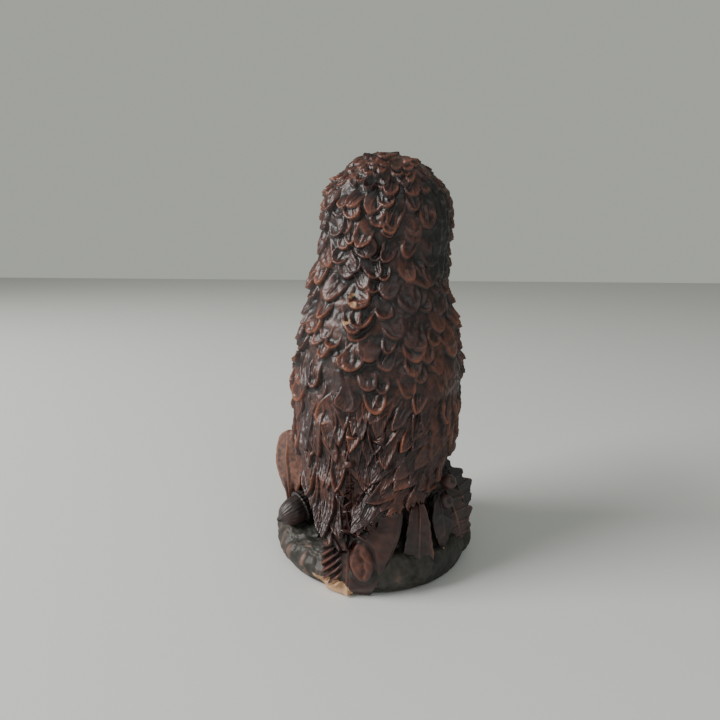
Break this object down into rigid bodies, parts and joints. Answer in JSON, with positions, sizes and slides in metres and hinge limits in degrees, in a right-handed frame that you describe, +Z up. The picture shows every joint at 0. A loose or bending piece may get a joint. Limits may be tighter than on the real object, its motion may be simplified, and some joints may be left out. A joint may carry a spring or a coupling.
{
  "type": "owl figurine",
  "caption": "Standing owl figurine on a low rounded base with a perch stump, oak leaves, berries and an acorn; rests on its flat underside.",
  "frame": {"origin": "middle of the felt pad's underside, on the surface the figurine stands on", "axes": "+Z up, the owl faces -Y, +X is the owl's left side"},
  "size_m": [0.056, 0.0581, 0.11],
  "materials": {
    "resin_feather": "cold-cast resin, red-brown stain, dark wash in the recesses, waxed",
    "resin_foliage": "cold-cast resin, darker brown stain with worn high spots",
    "resin_earth": "cold-cast resin, greenish-black wash over brown",
    "resin_horn": "cold-cast resin, dark horn brown, polished",
    "eye_glass": "amber glass eye with a black pupil",
    "green_felt": "thin dark green felt"
  },
  "bodies": {
    "root": {"acorn_cap": "resin_foliage", "acorn_nut": "resin_foliage", "base_mound": "resin_earth", "beak": "resin_horn", "berry_lower": "resin_foliage", "berry_upper": "resin_foliage", "eye_left": "eye_glass", "eye_right": "eye_glass", "facial_disc_left": "resin_feather", "facial_disc_right": "resin_feather", "felt_pad": "green_felt", "head": "resin_feather", "leg_left": "resin_feather", "leg_right": "resin_feather", "oak_leaf_front": "resin_foliage", "oak_leaf_left_front": "resin_foliage", "oak_leaf_left_rear": "resin_foliage", "oak_leaf_right_front": "resin_foliage", "oak_leaf_right_lower": "resin_foliage", "oak_leaf_right_narrow": "resin_foliage", "oak_leaf_right_rear": "resin_foliage", "oak_leaf_right_upper": "resin_foliage", "perch_stump": "resin_earth", "tail_coverts": "resin_feather", "tail_feather_left": "resin_feather", "tail_feather_right": "resin_feather", "talon_left_inner": "resin_horn", "talon_left_middle": "resin_horn", "talon_left_outer": "resin_horn", "talon_right_inner": "resin_horn", "talon_right_middle": "resin_horn", "talon_right_outer": "resin_horn", "toe_left_inner": "resin_horn", "toe_left_middle": "resin_horn", "toe_left_outer": "resin_horn", "toe_right_inner": "resin_horn", "toe_right_middle": "resin_horn", "toe_right_outer": "resin_horn", "torso": "resin_feather", "wing_left": "resin_feather", "wing_right": "resin_feather"}
  },
  "joints": []
}
